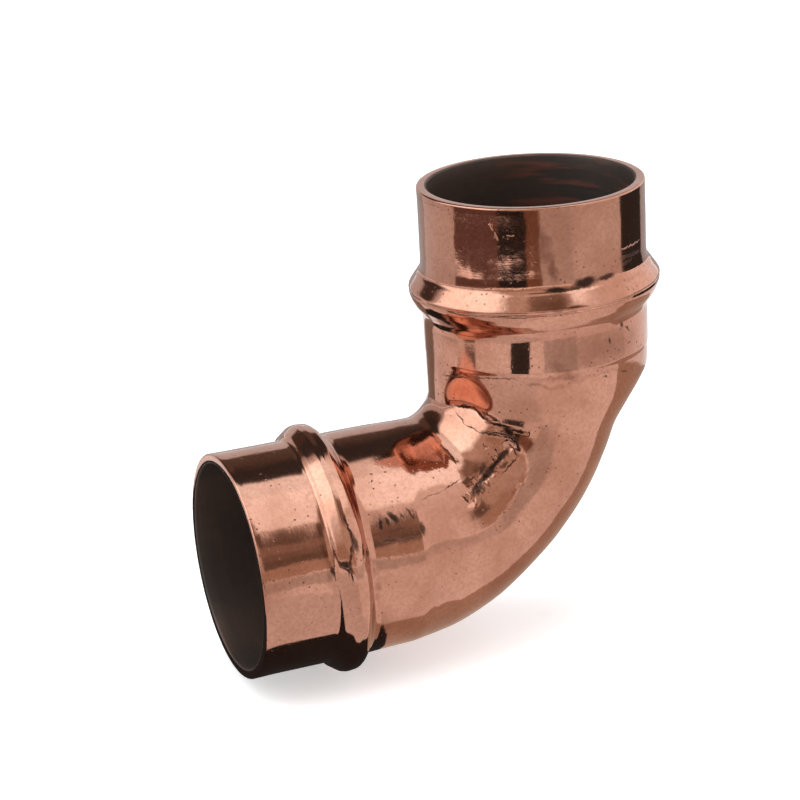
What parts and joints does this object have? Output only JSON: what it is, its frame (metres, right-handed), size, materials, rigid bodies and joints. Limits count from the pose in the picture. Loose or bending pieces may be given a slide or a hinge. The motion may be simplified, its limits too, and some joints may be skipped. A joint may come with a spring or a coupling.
{
  "type": "pipe elbow",
  "caption": "Copper pipe elbow, 90 degree, with equal capillary sockets, a rolled bead round each socket and a captive ring of solder behind each bead.",
  "frame": {"origin": "centre of the side socket's mouth, where its pipe enters", "axes": "the side socket's axis runs along +X from its mouth, which faces -X; the upper socket's axis runs along Z, with its mouth facing +Z; Y is across the bend"},
  "size_m": [0.0503, 0.0272, 0.0504],
  "materials": {
    "copper": "polished copper with handling marks",
    "solder": "dull silver-grey tin solder"
  },
  "bodies": {
    "root": {"elbow_body": "copper", "upper_solder_ring": "solder", "side_solder_ring": "solder"}
  },
  "joints": []
}
